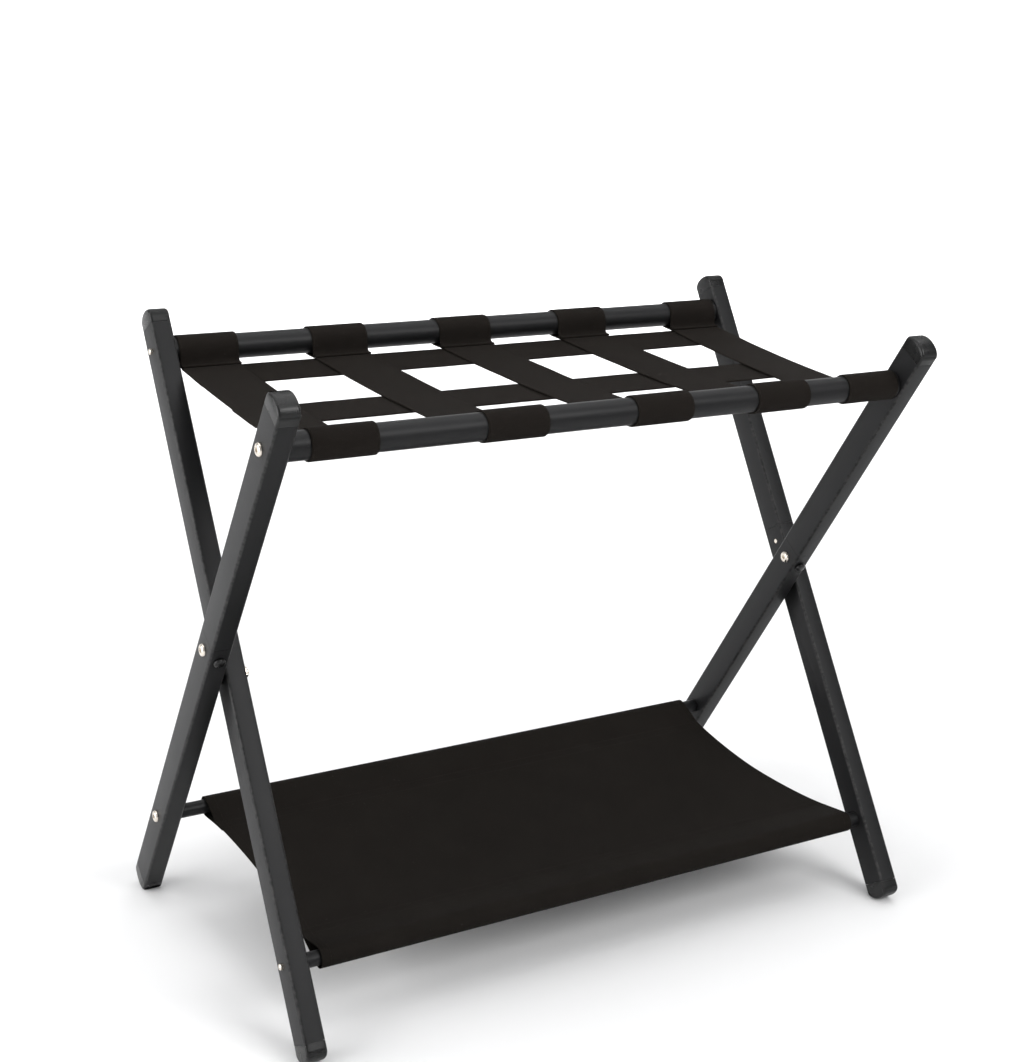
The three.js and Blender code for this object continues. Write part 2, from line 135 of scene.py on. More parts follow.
softbox("left_softbox", (-2.8, 0.3, 1.0), (0, 0, 0.3), 3.0, 2.0, 85)
softbox("overhead_softbox", (0.2, 0.3, 3.2), (0, 0, 0.2), 4.0, 4.0, 70)
softbox("front_softbox", (1.0, -2.6, 2.4), (0, 0, 0.3), 1.7, 1.2, 55)
softbox("backdrop_softbox", (2.4, 4.0, 4.0), (4.2, 7.0, 0.0), 5.0, 4.0, 600)

# ---- Leg tubes -------------------------------------------------------------------------
# Rectangular welded steel tube, powder coated satin black. Each leg is an upper and a lower
# length that meet over an inner sleeve. The ends stay open and are closed by the caps.
pivot = Vector(frame["joints"][0]["pos_m"])
body_with = {
    node: body for body, nodes in frame["record"]["behaviour"]["bodies"].items() for node in nodes
}


def middle_of(node):
    low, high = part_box(node)
    return (low + high) / 2


def lean_of(rail):
    out = middle_of(rail) - pivot
    return math.atan2(out.y, out.z)


lean = {"front_frame": lean_of("front_top_rail"), "back_frame": lean_of("back_top_rail")}


def along_leg(body):
    return Matrix.Rotation(-lean[body], 4, "X")


class Sock:
    """A shader socket that sums can be written with. Each sum adds a Math node."""

    def __init__(self, tree, socket=None):
        self.tree = tree
        self.socket = socket

    def node(self, kind, settings, inputs, output=0):
        made = self.tree.nodes.new(kind)
        for name, value in settings.items():
            if name == "stops":
                ramp = made.color_ramp.elements
                while len(ramp) < len(value):
                    ramp.new(0.5)
                for stop, (position, colour) in zip(ramp, value):
                    stop.position = position
                    stop.color = colour
            else:
                setattr(made, name, value)
        for name, value in inputs.items():
            if isinstance(value, Sock):
                self.tree.links.new(value.socket, made.inputs[name])
            else:
                made.inputs[name].default_value = value
        return Sock(self.tree, made.outputs[output])

    def math(self, operation, first, second):
        return self.node("ShaderNodeMath", {"operation": operation}, {0: first, 1: second})

    def __add__(self, other):
        return self.math("ADD", self, other)

    __radd__ = __add__

    def __mul__(self, other):
        return self.math("MULTIPLY", self, other)

    __rmul__ = __mul__

    def __sub__(self, other):
        return self.math("SUBTRACT", self, other)

    def __rsub__(self, other):
        return self.math("SUBTRACT", other, self)

    def __truediv__(self, other):
        return self.math("DIVIDE", self, other)

    def __pow__(self, other):
        return self.math("POWER", self, other)


def new_material(name):
    material = bpy.data.materials.new(name)
    material.use_nodes = True
    return material, Sock(material.node_tree), material.node_tree.nodes["Principled BSDF"]


def feed(make, shader, **values):
    for name, value in values.items():
        make.tree.links.new(value.socket, shader.inputs[name.replace("_", " ")])


def blend_colours(make, share, first, second):
    return make.node("ShaderNodeMix", {"data_type": "RGBA"}, {0: share, 6: first, 7: second}, 2)


def powder_coat():
    material, make, shader = new_material("satin_black_powder_coat")
    where = make.node("ShaderNodeTexCoord", {}, {}, 3)
    peel = make.node("ShaderNodeTexNoise", {}, {"Vector": where, "Scale": 900.0, "Detail": 3.0})
    cloud = make.node("ShaderNodeTexNoise", {}, {"Vector": where, "Scale": 14.0, "Detail": 4.0})
    highlight_breakup = make.node("ShaderNodeTexNoise", {}, {"Vector": where, "Scale": 260.0, "Detail": 2.0})
    # Painted highlight: the rounded corners marked by the edge attribute are lightened towards grey in noisy
    # patches, in place of the light they catch.
    edge = make.node("ShaderNodeAttribute", {"attribute_name": "edge"}, {}, 2)
    corner_highlight = edge * (highlight_breakup * 3.2 - 1.15)
    corner_highlight = make.node("ShaderNodeClamp", {}, {"Value": corner_highlight})
    base = blend_colours(make, cloud, (0.0080, 0.0080, 0.0086, 1), (0.0120, 0.0119, 0.0124, 1))
    colour = blend_colours(make, corner_highlight * 0.5, base, (0.055, 0.054, 0.053, 1))
    bump = make.node("ShaderNodeBump", {}, {"Strength": 0.22, "Distance": 0.0004, "Height": peel})
    feed(make, shader, Base_Color=colour, Roughness=0.34 + cloud * 0.12 + peel * 0.06, Normal=bump)
    shader.inputs["Specular IOR Level"].default_value = 0.19
    return material


steel_paint = powder_coat()
smooth_angle = math.radians(38)


def finished(name, mesh, material, node):
    """Makes the bmesh a piece that stands for a CAD node and rides on that node's body."""
    made = bpy.data.objects.new(name, bpy.data.meshes.new(name))
    mesh.to_mesh(made.data)
    mesh.free()
    made.data.shade_smooth()
    made.data.set_sharp_from_angle(angle=smooth_angle)
    made.data.materials.append(material)
    scene.collection.objects.link(made)
    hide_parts(node)
    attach(made, body_with[node])
    return made


def line_with_wall(mesh, scale):
    """Gives an open-ended sleeve of faces its inner wall, scaled from the outer one about z."""
    copied = bmesh.ops.duplicate(mesh, geom=mesh.verts[:] + mesh.edges[:] + mesh.faces[:])["geom"]
    inner_verts = [item for item in copied if isinstance(item, bmesh.types.BMVert)]
    inner_faces = [item for item in copied if isinstance(item, bmesh.types.BMFace)]
    bmesh.ops.scale(mesh, vec=scale, verts=inner_verts)
    bmesh.ops.reverse_faces(mesh, faces=inner_faces)
    for end in (-1, 1):
        rims = [e for e in mesh.edges if e.is_boundary and e.verts[0].co.z * end > 0]
        bmesh.ops.bridge_loops(mesh, edges=rims)


leg_depth = 0.030
leg_wall = 0.0015
leg_corner = 0.0026


def leg_tube(node):
    low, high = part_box(node)
    body = body_with[node]
    angle = abs(lean[body])
    thickness = high.x - low.x
    length = (high.z - low.z - leg_depth * math.sin(angle)) / math.cos(angle)
    mesh = bmesh.new()
    bmesh.ops.create_cube(mesh, size=1)
    bmesh.ops.scale(mesh, vec=(thickness, leg_depth, length), verts=mesh.verts)
    long_edges = [e for e in mesh.edges if abs(e.verts[0].co.z - e.verts[1].co.z) > length / 2]
    bmesh.ops.bevel(
        mesh, geom=long_edges, offset=leg_corner, affect="EDGES", segments=5, profile=0.5, material=-1
    )
    # The edge attribute marks the rounded corners, where the powder coat paints a lighter highlight.
    edge = mesh.verts.layers.float.new("edge")
    for vert in mesh.verts:
        past_flat = min(
            abs(vert.co.x) - (thickness / 2 - leg_corner), abs(vert.co.y) - (leg_depth / 2 - leg_corner)
        )
        vert[edge] = 1.0 if past_flat > 0.1 * leg_corner else 0.0
    ends = [f for f in mesh.faces if abs(f.normal.z) > 0.9]
    bmesh.ops.delete(mesh, geom=ends, context="FACES_ONLY")
    scale = ((thickness - 2 * leg_wall) / thickness, (leg_depth - 2 * leg_wall) / leg_depth, 1)
    line_with_wall(mesh, scale)
    mesh.transform(Matrix.Translation((low + high) / 2) @ along_leg(body))
    finished(f"tube_{node}", mesh, steel_paint, node)
    return length


leg_names = [node[: -len("_upper_leg")] for node in body_with if node.endswith("_upper_leg")]
upper_length = {}
lower_length = {}
for leg in leg_names:
    upper_length[leg] = leg_tube(f"{leg}_upper_leg")
    lower_length[leg] = leg_tube(f"{leg}_lower_leg")

# ---- Leg sleeves -----------------------------------------------------------------------
# Zinc plated inner tubes that carry each leg across its seam. They lie inside the legs and
# keep their CAD shape.


def zinc_plate():
    material, make, shader = new_material("zinc_plated_steel")
    where = make.node("ShaderNodeTexCoord", {}, {}, 3)
    spangle = make.node("ShaderNodeTexVoronoi", {}, {"Vector": where, "Scale": 220.0}, 1)
    grey = make.node("ShaderNodeRGBToBW", {}, {"Color": spangle})
    colour = blend_colours(make, grey, (0.40, 0.41, 0.43, 1), (0.55, 0.56, 0.57, 1))
    feed(make, shader, Base_Color=colour, Roughness=0.34 + grey * 0.2)
    shader.inputs["Metallic"].default_value = 1.0
    return material


zinc = zinc_plate()


def dress(node, material):
    """A CAD node that is hardly seen keeps its shape and takes a material."""
    shown = frame["nodes"][node]
    shown.data.materials.clear()
    shown.data.materials.append(material)


for leg in leg_names:
    dress(f"{leg}_leg_sleeve", zinc)

# ---- Leg caps --------------------------------------------------------------------------
# Injection moulded black caps at all eight tube ends: a half-ellipse dome with rounded sides
# on a short skirt as wide as the tube, over a plug that is pushed in.
cap_rise = 0.0085
cap_skirt = 0.008
cap_side_round = 0.0026
cap_wall = 0.0018
plug_depth = 0.016
cap_gap = 0.0003


def moulded_plastic():
    material, make, shader = new_material("moulded_black_plastic")
    where = make.node("ShaderNodeTexCoord", {}, {}, 3)
    grain = make.node("ShaderNodeTexNoise", {}, {"Vector": where, "Scale": 1400.0, "Detail": 2.0})
    cloud = make.node("ShaderNodeTexNoise", {}, {"Vector": where, "Scale": 60.0, "Detail": 3.0})
    colour = blend_colours(make, cloud, (0.004, 0.004, 0.004, 1), (0.008, 0.008, 0.008, 1))
    bump = make.node("ShaderNodeBump", {}, {"Strength": 0.15, "Distance": 0.0003, "Height": grain})
    feed(make, shader, Base_Color=colour, Roughness=0.22 + cloud * 0.12, Normal=bump)
    shader.inputs["Specular IOR Level"].default_value = 0.32
    return material


plastic = moulded_plastic()


def leg_cap(leg, place, tube, tube_length, upward):
    node = f"{leg}_{place}_cap"
    body = body_with[node]
    low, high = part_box(node)
    thickness = high.x - low.x
    mesh = bmesh.new()
    bmesh.ops.create_cone(
        mesh, cap_ends=True, segments=72, radius1=leg_depth / 2, radius2=leg_depth / 2, depth=thickness
    )
    bmesh.ops.rotate(mesh, verts=mesh.verts, matrix=Matrix.Rotation(math.pi / 2, 3, "Y"))
    bmesh.ops.scale(mesh, vec=(1, 1, cap_rise / (leg_depth / 2)), verts=mesh.verts)
    everything = mesh.verts[:] + mesh.edges[:] + mesh.faces[:]
    bmesh.ops.bisect_plane(
        mesh, geom=everything, plane_co=(0, 0, 0), plane_no=(0, 0, 1), clear_inner=True, dist=1e-6
    )
    open_rim = [e for e in mesh.edges if e.is_boundary]
    skirt = bmesh.ops.extrude_edge_only(mesh, edges=open_rim)["geom"]
    bmesh.ops.translate(
        mesh, vec=(0, 0, -cap_skirt), verts=[v for v in skirt if isinstance(v, bmesh.types.BMVert)]
    )
    rims = [
        e for e in mesh.edges
        if not e.is_boundary
        and all(abs(abs(v.co.x) - thickness / 2) < 1e-6 for v in e.verts)
        and not all(abs(v.co.z) < 1e-6 for v in e.verts)
    ]
    bmesh.ops.bevel(
        mesh, geom=rims, offset=cap_side_round, affect="EDGES", segments=5, profile=0.5, material=-1
    )
    open_rim = [e for e in mesh.edges if e.is_boundary]
    seat = bmesh.ops.contextual_create(mesh, geom=open_rim)["faces"]
    bmesh.ops.inset_region(mesh, faces=seat, thickness=cap_wall, use_even_offset=True)
    pushed = bmesh.ops.extrude_face_region(mesh, geom=seat)["geom"]
    bmesh.ops.translate(
        mesh, vec=(0, 0, -plug_depth), verts=[v for v in pushed if isinstance(v, bmesh.types.BMVert)]
    )
    bmesh.ops.delete(mesh, geom=seat, context="FACES_ONLY")
    bmesh.ops.recalc_face_normals(mesh, faces=mesh.faces)
    turn = Matrix.Identity(4) if upward else Matrix.Rotation(math.pi, 4, "Y")
    reach = (tube_length / 2 + cap_gap + cap_skirt) * (1 if upward else -1)
    place_on_leg = along_leg(body) @ Matrix.Translation((0, 0, reach)) @ turn
    mesh.transform(Matrix.Translation(middle_of(tube)) @ place_on_leg)
    finished(f"moulded_{node}", mesh, plastic, node)


for leg in leg_names:
    leg_cap(leg, "top", f"{leg}_upper_leg", upper_length[leg], True)
    leg_cap(leg, "foot", f"{leg}_lower_leg", lower_length[leg], False)

# ---- Rails and rods --------------------------------------------------------------------
# Round steel tube in the same powder coat: two thick top rails and two thin bottom rods, cut
# square and butted against the inner faces of the legs.
tube_wall = 0.0014


def round_tube(node):
    low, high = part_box(node)
    radius = (high.z - low.z) / 2
    mesh = bmesh.new()
    bmesh.ops.create_cone(
        mesh, cap_ends=False, segments=72, radius1=radius, radius2=radius, depth=high.x - low.x
    )
    inner = (radius - tube_wall) / radius
    line_with_wall(mesh, (inner, inner, 1))
    # The edge layer stays zero here, so the round tubes get no painted corner highlight.
    mesh.verts.layers.float.new("edge")
    mesh.transform(Matrix.Translation((low + high) / 2) @ Matrix.Rotation(math.pi / 2, 4, "Y"))
    finished(f"tube_{node}", mesh, steel_paint, node)


bars = ["front_top_rail", "back_top_rail", "front_bottom_rod", "back_bottom_rod"]
for bar in bars:
    round_tube(bar)
    for end in ("left", "right"):
        dress(f"{bar}_{end}_insert", zinc)

# ---- Bolts -----------------------------------------------------------------------------
# Nickel plated pan-head bolts with a hexagon socket: one at each end of every rail and rod, and
# one through each leg joint.
head_height = 0.0028
socket_radius = 0.0023
socket_depth = 0.0017
shank_radius = 0.003
spin_steps = 36


def nickel_plate():
    material, make, shader = new_material("nickel_plate")
    where = make.node("ShaderNodeTexCoord", {}, {}, 3)
    brushed = make.node("ShaderNodeTexNoise", {}, {"Vector": where, "Scale": 700.0, "Detail": 4.0})
    stain = make.node("ShaderNodeTexNoise", {}, {"Vector": where, "Scale": 180.0, "Detail": 3.0})
    colour = blend_colours(make, stain, (0.64, 0.58, 0.50, 1), (0.86, 0.80, 0.72, 1))
    bump = make.node("ShaderNodeBump", {}, {"Strength": 0.1, "Distance": 0.0002, "Height": brushed})
    feed(make, shader, Base_Color=colour, Roughness=0.16 + brushed * 0.2, Normal=bump)
    shader.inputs["Metallic"].default_value = 1.0
    return material


nickel = nickel_plate()


def spun(profile):
    """A closed turned shape about z, from its half outline."""
    mesh = bmesh.new()
    verts = [mesh.verts.new((radius, 0, height)) for radius, height in profile]
    edges = [mesh.edges.new(pair) for pair in zip(verts, verts[1:])]
    bmesh.ops.spin(
        mesh, geom=verts + edges, cent=(0, 0, 0), axis=(0, 0, 1), dvec=(0, 0, 0),
        angle=2 * math.pi, steps=spin_steps, use_merge=True, use_duplicate=False,
    )
    bmesh.ops.remove_doubles(mesh, verts=mesh.verts, dist=1e-6)
    bmesh.ops.recalc_face_normals(mesh, faces=mesh.faces)
    return mesh


def hexagon_reach(angle):
    """How far a hexagon's side lies from its middle at an angle, for a corner radius of one."""
    sixth = math.pi / 3
    return math.cos(sixth / 2) / math.cos(angle % sixth - sixth / 2)


def pan_bolt(node, head_side):
    low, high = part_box(node)
    head_radius = (high.y - low.y) / 2
    length = high.x - low.x - head_height
    top = head_height
    profile = [
        (0, top - socket_depth),
        (socket_radius, top - socket_depth),
        (socket_radius, top - 0.0001),
        (socket_radius + 0.0003, top),
        (head_radius * 0.62, top),
        (head_radius * 0.80, top * 0.90),
        (head_radius * 0.92, top * 0.68),
        (head_radius * 0.99, top * 0.35),
        (head_radius, 0),
        (shank_radius, 0),
        (shank_radius, -length + 0.0008),
        (shank_radius - 0.0008, -length),
        (0, -length),
    ]
    mesh = spun(profile)
    for vert in mesh.verts:
        flat = vert.co.xy.length
        if 1e-6 < flat < socket_radius + 0.0001 and vert.co.z > 0:
            reach = hexagon_reach(math.atan2(vert.co.y, vert.co.x))
            vert.co.x *= reach
            vert.co.y *= reach
    seat = low.x + head_height if head_side < 0 else high.x - head_height
    face_out = Matrix.Rotation(head_side * math.pi / 2, 4, "Y")
    centre = Vector((seat, (low.y + high.y) / 2, (low.z + high.z) / 2))
    mesh.transform(Matrix.Translation(centre) @ face_out)
    finished(f"nickel_{node}", mesh, nickel, node)


for bar in bars:
    pan_bolt(f"{bar}_left_bolt", -1)
    pan_bolt(f"{bar}_right_bolt", 1)
for leg in leg_names:
    pan_bolt(f"{leg}_joint_bolt", -1 if leg.startswith("front_frame") else 1)

# ---- Joint buttons ---------------------------------------------------------------------
# Black press studs on the under faces of the front frame's legs, beside the joint bolt. Each
# stands on a short stem through the tube wall.
button_rise = 0.004
button_stem = 0.0043
button_stem_radius = 0.003

for leg in leg_names:
    node = f"{leg}_joint_button"
    if node not in body_with:
        continue
    low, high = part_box(node)
    radius = (high.x - low.x) / 2
    button = spun([
        (0, -button_stem), (button_stem_radius, -button_stem), (button_stem_radius, 0.0003),
        (radius * 0.94, 0.0003), (radius, 0.0008), (radius, button_rise * 0.42),
        (radius * 0.93, button_rise * 0.68), (radius * 0.72, button_rise * 0.90),
        (radius * 0.40, button_rise), (0, button_rise),
    ])
    out = along_leg("front_frame") @ Vector((0, -1, 0))
    seat = (low + high) / 2 + out * (button_stem - button_rise) / 2
    outward = along_leg("front_frame") @ Matrix.Rotation(math.pi / 2, 4, "X")
    button.transform(Matrix.Translation(seat) @ outward)
    finished(f"moulded_{node}", button, plastic, node)

# ---- Pivots ----------------------------------------------------------------------------
# A nickel stud fixed in one leg passes a black spacer and the other leg, and ends in a
# hexagon nut on that leg's right face. The stud's flange is hidden inside its leg.
bore = 0.0033
spacer_round = 0.0006
nut_corner = 0.0056

for side in ("left", "right"):
    node = f"{side}_pivot_spacer"
    low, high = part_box(node)
    radius = (high.z - low.z) / 2
    half = (high.x - low.x) / 2
    spacer = spun([
        (bore, -half), (radius - spacer_round, -half), (radius, -half + spacer_round),
        (radius, half - spacer_round), (radius - spacer_round, half), (bore, half), (bore, -half),
    ])
    spacer.transform(Matrix.Translation((low + high) / 2) @ Matrix.Rotation(math.pi / 2, 4, "Y"))
    finished(f"moulded_{node}", spacer, plastic, node)

    node = f"{side}_pivot_nut"
    low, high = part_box(node)
    half = (high.x - low.x) / 2
    nut = spun([
        (bore, -half), (nut_corner, -half), (nut_corner, half - 0.0007), (nut_corner - 0.0009, half),
        (bore, half), (bore, -half),
    ])
    for vert in nut.verts:
        if vert.co.xy.length > nut_corner - 0.0001:
            reach = hexagon_reach(math.atan2(vert.co.y, vert.co.x))
            vert.co.x *= reach
            vert.co.y *= reach
    nut.transform(
        Matrix.Translation((low + high) / 2)
        @ along_leg("front_frame")
        @ Matrix.Rotation(math.pi / 2, 4, "Y")
    )
    finished(f"nickel_{node}", nut, nickel, node)
    dress(f"{side}_pivot_stud", nickel)

# ---- Cross straps ----------------------------------------------------------------------
# Five lengths of black woven webbing. Each is folded round the front and the back rail, and
# its ends are sewn back under it, so that every rail sits in a loop drawn to a seam.
web_thickness = 0.0016
web_gap = 0.0004
tab_length = 0.009
tab_bend = 0.001
deck_sag = 0.0032
strap_width_steps = 12
strap_length_steps = 190
route_steps = 60


def woven(name, dark, light, pitch, depth, rough, half_width, cross_rows, hem_inset):
    """Cloth woven from round yarns, in metres along its own flat length and width.

    Rows of stitches cross it at the given distances from its middle, and one runs along
    each side edge, hem_inset from it.
    """
    material, make, shader = new_material(name)
    flat = make.node("ShaderNodeUVMap", {"uv_map": "flat"}, {})
    across = make.node("ShaderNodeSeparateXYZ", {}, {"Vector": flat})
    along = make.node("ShaderNodeSeparateXYZ", {}, {"Vector": flat}, 1)
    warp = make.math("SINE", across * (2 * math.pi / pitch), 0)
    weft = make.math("SINE", along * (2 * math.pi / pitch), 0)
    over = warp * weft
    rib = make.math("ABSOLUTE", warp, 0)
    fuzz = make.node("ShaderNodeTexNoise", {}, {"Vector": flat, "Scale": 2600.0, "Detail": 3.0})
    cloud = make.node("ShaderNodeTexNoise", {}, {"Vector": flat, "Scale": 22.0, "Detail": 4.0})
    lint = make.node("ShaderNodeTexNoise", {}, {"Vector": flat, "Scale": 420.0, "Detail": 1.0})
    lint = make.node("ShaderNodeClamp", {}, {"Value": lint * 12.0 - 8.6})
    from_middle = make.math("ABSOLUTE", along, 0)
    from_centre = make.math("ABSOLUTE", across, 0)
    stitch = 0.0
    for row in cross_rows:
        stitch = thread_row(make, from_middle, row, across) + stitch
    stitch = thread_row(make, from_centre, half_width - hem_inset, along) + stitch
    height = over * 0.3 + rib * 0.3 + fuzz * 0.45 + stitch * 2.4
    shade = over * 0.2 + cloud * 0.5 + fuzz * 0.3 - 0.04
    shade = make.node("ShaderNodeClamp", {}, {"Value": shade})
    woven_colour = blend_colours(make, shade, dark, light)
    speckled = blend_colours(make, lint * 0.5, woven_colour, (0.050, 0.046, 0.042, 1))
    thread = tuple(1.25 * channel for channel in light[:3]) + (1,)
    colour = blend_colours(make, make.node("ShaderNodeClamp", {}, {"Value": stitch}), speckled, thread)
    bump = make.node("ShaderNodeBump", {}, {"Strength": 0.8, "Distance": depth, "Height": height})
    feed(make, shader, Base_Color=colour, Roughness=rough + cloud * 0.1, Normal=bump)
    shader.inputs["Specular IOR Level"].default_value = 0.06
    return material


thread_width = 0.0009
stitch_pitch = 0.0032


def thread_row(make, distance, row, along_row):
    """One where a stitch of the row passes and zero elsewhere."""
    off_row = make.math("ABSOLUTE", distance - row, 0)
    near = make.node("ShaderNodeClamp", {}, {"Value": 1.0 - off_row * (2 / thread_width)})
    dash = make.math("SINE", along_row * (2 * math.pi / stitch_pitch), 0) * 2.0 + 0.9
    return near * make.node("ShaderNodeClamp", {}, {"Value": dash})


front_rail = middle_of("front_top_rail")
back_rail = middle_of("back_top_rail")
rail_radius = (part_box("front_top_rail")[1].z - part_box("front_top_rail")[0].z) / 2


class BandAxes:
    """Axes between two parallel bars: y from the front bar to the back bar about the middle."""

    def __init__(self, front, back):
        self.span = (back - front).yz.length
        self.slope = math.atan2(back.z - front.z, back.y - front.y)
        middle = Vector((0, (front.y + back.y) / 2, (front.z + back.z) / 2))
        self.matrix = Matrix.Translation(middle) @ Matrix.Rotation(self.slope, 4, "X")


def arc(centre, radius, start, end, steps):
    turns = [start + (end - start) * step / steps for step in range(steps + 1)]
    return [Vector((centre + radius * math.cos(a), radius * math.sin(a))) for a in turns]


def measured(corners, tip, sag):
    lengths = [0.0]
    for here, there in zip(corners, corners[1:]):
        lengths.append(lengths[-1] + (there - here).length)
    return Route(corners, lengths, tip, sag)


def wrapped_route(span, bar_radius, tab, thickness, gap, sag):
    """The side view of a strap that lies under two bars and wraps once round each of them."""
    radius = bar_radius + gap + thickness / 2
    foot = span / 2 - radius - tab_bend
    tab_height = -radius + thickness + 0.0002
    front = [Vector((-foot + tab, tab_height)), Vector((-foot, tab_height))]
    front += arc(-span / 2, radius, 0, 1.5 * math.pi, route_steps)
    tip = foot - tab
    bed = [Vector((-tip + 2 * tip * k / route_steps, -radius)) for k in range(route_steps + 1)]
    back = arc(span / 2, radius, -0.5 * math.pi, math.pi, route_steps)
    back += [Vector((foot, tab_height)), Vector((foot - tab, tab_height))]
    return measured(front + bed + back, tip, sag)


class Route:
    """A strip's side view, read by length along the strip."""

    soften = 0.0035

    def __init__(self, corners, lengths, tip, sag):
        self.corners = corners
        self.lengths = lengths
        self.tip = tip
        self.sag = sag
        self.total = lengths[-1]

    def sharp(self, s):
        s = min(max(s, 0.0), self.total)
        index = min(bisect.bisect_right(self.lengths, s), len(self.lengths) - 1)
        step = self.lengths[index] - self.lengths[index - 1]
        share = (s - self.lengths[index - 1]) / step if step else 0.0
        return self.corners[index - 1].lerp(self.corners[index], share)

    def drop(self, y):
        """How far the slack cloth hangs at y between its two seams."""
        inside = 1 - (y / self.tip) ** 2
        return self.sag * inside if inside > 0 else 0.0

    def at(self, s):
        """The point at s, with the folds rounded over a few millimetres."""
        near = [self.sharp(s + self.soften * k / 3) for k in range(-3, 4)]
        point = sum(near, Vector((0, 0))) / len(near)
        point.y -= self.drop(point.x)
        return point


def flat_strip(width, length, width_steps, length_steps):
    """A strip of cloth as cut, with its own flat map in metres; x across and y along."""
    mesh = bmesh.new()
    bmesh.ops.create_grid(mesh, x_segments=width_steps, y_segments=length_steps, size=0.5)
    bmesh.ops.scale(mesh, vec=(width, length, 1), verts=mesh.verts)
    flat = mesh.loops.layers.uv.new("flat")
    for face in mesh.faces:
        for loop in face.loops:
            loop[flat].uv = (loop.vert.co.x, loop.vert.co.y)
    return mesh


def cloth_piece(name, mesh, material, node, thickness):
    """A sheet with its thickness and rolled edges."""
    made = bpy.data.objects.new(name, bpy.data.meshes.new(name))
    bmesh.ops.recalc_face_normals(mesh, faces=mesh.faces)
    mesh.to_mesh(made.data)
    mesh.free()
    made.data.shade_smooth()
    made.data.materials.append(material)
    scene.collection.objects.link(made)
    wall = made.modifiers.new("thickness", "SOLIDIFY")
    wall.thickness = thickness
    wall.offset = 0
    wall.use_even_offset = True
    roll_edge = made.modifiers.new("edge", "BEVEL")
    roll_edge.width = thickness * 0.3
    roll_edge.segments = 2
    roll_edge.limit_method = "ANGLE"
    roll_edge.angle_limit = math.radians(50)
    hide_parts(node)
    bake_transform(made)
    return made


deck = BandAxes(front_rail, back_rail)
strap_route = wrapped_route(deck.span, rail_radius, tab_length, web_thickness, web_gap, deck_sag)
field_drop = rail_radius + web_gap + web_thickness / 2
sewn_to = deck.matrix @ Vector((0, -strap_route.tip, 0))
tab_row_inset = 0.0035
tab_row = strap_route.total / 2 - tab_row_inset
strap_half = 0.030
webbing = woven(
    "black_webbing", (0.0080, 0.0066, 0.0056, 1), (0.0205, 0.0172, 0.0146, 1),
    0.0016, 0.0005, 0.82, strap_half, [tab_row], 0.0016,
)
strap_names = [f"cross_strap_{number}" for number in range(1, 6)]


def strap_ends(node):
    """A strap's width and the places in x of its middle at the front and at the back rail."""
    points = [v.co for v in frame["nodes"][node].data.vertices]
    ends = []
    for rail in (front_rail, back_rail):
        near = [p.x for p in points if abs(p.y - rail.y) < rail_radius * 0.2]
        ends.append((min(near) + max(near)) / 2)
    low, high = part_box(node)
    slant = abs(ends[1] - ends[0])
    reach = (high.y - low.y) / deck.span
    return high.x - low.x - slant * reach, ends[0], ends[1]


seam_fade = 0.02
strap_layout = {}
for node in strap_names:
    width, front_x, back_x = strap_ends(node)
    strap_layout[node] = (width, front_x, back_x)
    strip = flat_strip(width, strap_route.total, strap_width_steps, strap_length_steps)
    for vert in strip.verts:
        side = vert.co.x
        along = vert.co.y + strap_route.total / 2
        point = strap_route.at(along)
        share = 0.5 + point.x / deck.span
        crown = 0.0004 * math.cos(math.pi * side / width)
        ripple = 0.0005 * noise.noise(Vector((side * 18, along * 22, front_x * 40)))
        free = min(1.0, max(0.0, (strap_route.tip - abs(point.x)) / seam_fade))
        height = point.y + (crown + ripple) * free
        vert.co = (front_x + (back_x - front_x) * share + side, point.x, height)
    strip.transform(deck.matrix)
    strap = cloth_piece(
        f"web_{node}", strip, webbing, node, web_thickness
    )

# ---- Lengthwise straps -----------------------------------------------------------------
# Two more lengths of the same webbing, laid under the cross straps and sewn to each of them.
# They keep the cross straps apart.
long_names = ["front_long_strap", "back_long_strap"]
long_strap_steps = 200
long_end_inset = 0.0015
layer_gap = 0.0004
first_strap = strap_layout[strap_names[0]]
last_strap = strap_layout[strap_names[-1]]
for node in long_names:
    low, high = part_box(node)
    middle = deck.matrix.inverted() @ ((low + high) / 2)
    width = (high.y - low.y) / math.cos(deck.slope)
    share = 0.5 + middle.y / deck.span
    left = first_strap[1] + (first_strap[2] - first_strap[1]) * share - first_strap[0] / 2 + long_end_inset
    right = last_strap[1] + (last_strap[2] - last_strap[1]) * share + last_strap[0] / 2 - long_end_inset
    strip = flat_strip(width, right - left, strap_width_steps, long_strap_steps)
    for vert in strip.verts:
        side = vert.co.x
        along = vert.co.y
        y = middle.y + side
        trim_left = (first_strap[2] - first_strap[1]) * side / deck.span
        trim_right = (last_strap[2] - last_strap[1]) * side / deck.span
        across = (along + (right - left) / 2) / (right - left)
        x = left + trim_left + (right + trim_right - left - trim_left) * across
        ripple = 0.0006 * noise.noise(Vector((x * 16, y * 24, 3.0)))
        height = -field_drop - web_thickness - layer_gap - strap_route.drop(y) - abs(ripple)
        vert.co = (x, y, height)
    strip.transform(deck.matrix)
    strap = cloth_piece(
        f"web_{node}", strip, webbing, node, web_thickness
    )
    right - left

# ---- Canvas shelf ----------------------------------------------------------------------
# One panel of black canvas with a casing sewn round each bottom rod. Its side edges are
# hemmed and drawn in a little by the pull between the rods.
canvas_thickness = 0.0011
casing_gap = 0.0022
casing_reach = 0.034
hem_width = 0.012
shelf_sag = 0.006
front_rod = middle_of("front_bottom_rod")
back_rod = middle_of("back_bottom_rod")
rod_radius = (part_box("front_bottom_rod")[1].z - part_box("front_bottom_rod")[0].z) / 2
shelf_axes = BandAxes(front_rod, back_rod)


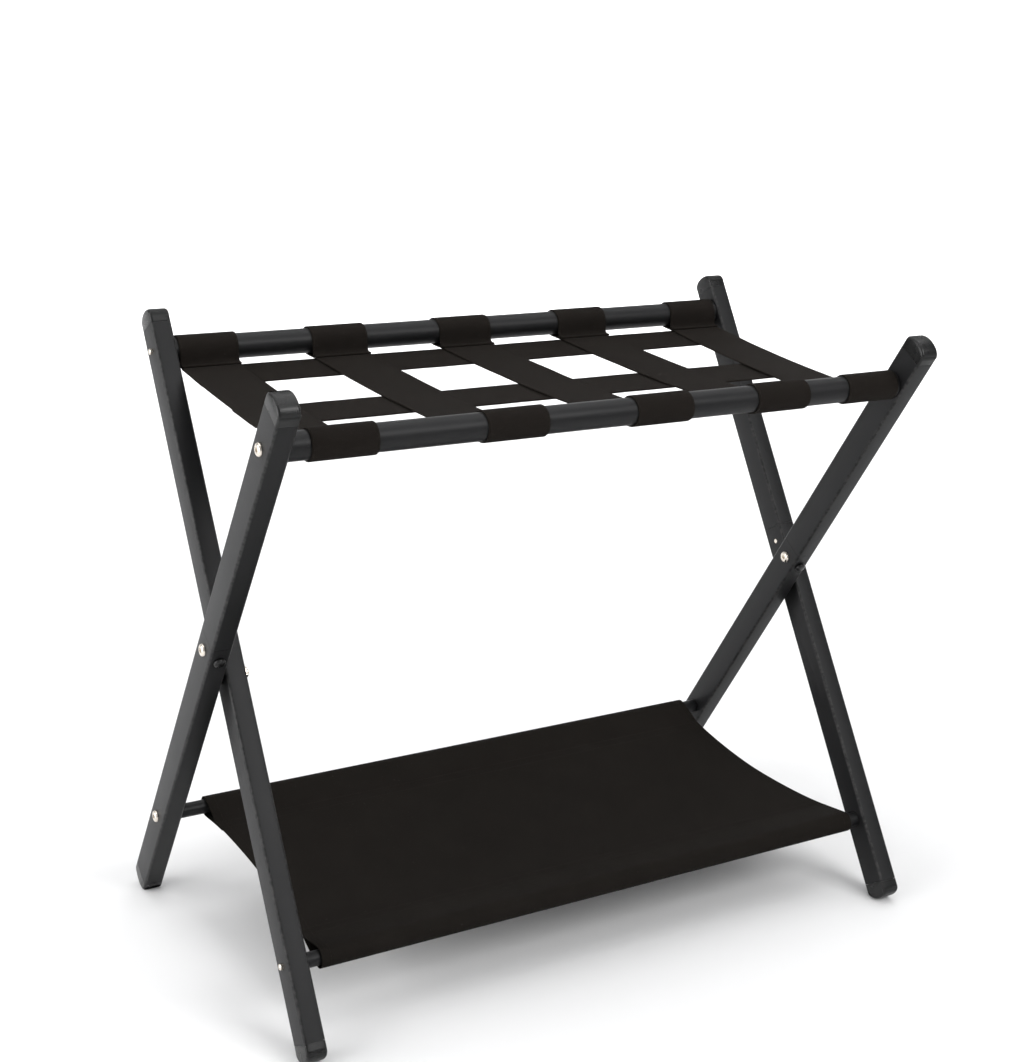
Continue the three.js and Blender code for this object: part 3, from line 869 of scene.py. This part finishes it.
def cased_route(span, bar_radius, reach, tab, thickness, gap, sag):
    """The side view of a panel with a casing drawn to a seam at each of two bars."""
    radius = bar_radius + gap + thickness / 2
    under = -(thickness + 0.0002)
    tip = span / 2 - reach
    over_angle = math.acos(radius / reach)
    under_angle = math.acos(radius / math.hypot(reach, under)) - math.atan2(under, reach)
    front = [Vector((-tip + tab, under)), Vector((-tip, under))]
    front += arc(-span / 2, radius, -under_angle, over_angle - 2 * math.pi, route_steps)
    bed = [Vector((-tip + 2 * tip * k / route_steps, 0)) for k in range(route_steps + 1)]
    back = arc(span / 2, radius, math.pi - over_angle, under_angle - math.pi, route_steps)
    back += [Vector((tip, under)), Vector((tip - tab, under))]
    return measured(front + bed + back, tip, sag)


shelf_route = cased_route(
    shelf_axes.span, rod_radius, casing_reach, hem_width, canvas_thickness, casing_gap, shelf_sag
)
shelf_points = [v.co for v in frame["nodes"]["canvas_shelf"].data.vertices]


def casing_ends(rod):
    near = [p.x for p in shelf_points if abs(p.y - rod.y) < rod_radius * 1.5]
    return min(near), max(near)


front_ends = casing_ends(front_rod)
back_ends = casing_ends(back_rod)
side_waist = 0.008
shelf_width = front_ends[1] - front_ends[0]
canvas = woven(
    "black_canvas", (0.0078, 0.0066, 0.0056, 1), (0.0185, 0.0158, 0.0135, 1),
    0.0011, 0.00035, 0.86, shelf_width / 2,
    [shelf_route.tip, shelf_route.tip - hem_width + 0.002], 0.009,
)
shelf_width_steps = 90
shelf_length_steps = 150
sheet = flat_strip(shelf_width, shelf_route.total, shelf_width_steps, shelf_length_steps)


def shelf_side(ends_front, ends_back, y, draw):
    share = min(max((y + shelf_route.tip) / (2 * shelf_route.tip), 0), 1)
    waist = 4 * share * (1 - share) * draw
    return ends_front + (ends_back - ends_front) * share + waist


for vert in sheet.verts:
    across = 0.5 + vert.co.x / shelf_width
    along = vert.co.y + shelf_route.total / 2
    point = shelf_route.at(along)
    left = shelf_side(front_ends[0], back_ends[0], point.x, side_waist)
    right = shelf_side(front_ends[1], back_ends[1], point.x, -side_waist)
    x = left + (right - left) * across
    free = max(0.0, 1 - abs(point.x) / shelf_route.tip)
    ripple = 0.0022 * free ** 0.5 * noise.noise(Vector((x * 7, point.x * 5, 1.7)))
    ripple += 0.0008 * free ** 0.5 * noise.noise(Vector((x * 30, point.x * 12, 4.1)))
    edge_lift = 0.35 * shelf_route.drop(point.x) * (2 * across - 1) ** 4
    vert.co = (x, point.x, point.y + ripple + edge_lift)
sheet.transform(shelf_axes.matrix)
cased_from = shelf_axes.matrix @ Vector((0, -shelf_route.tip, 0))
shelf = cloth_piece(
    "sewn_canvas_shelf", sheet, canvas, "canvas_shelf", canvas_thickness
)
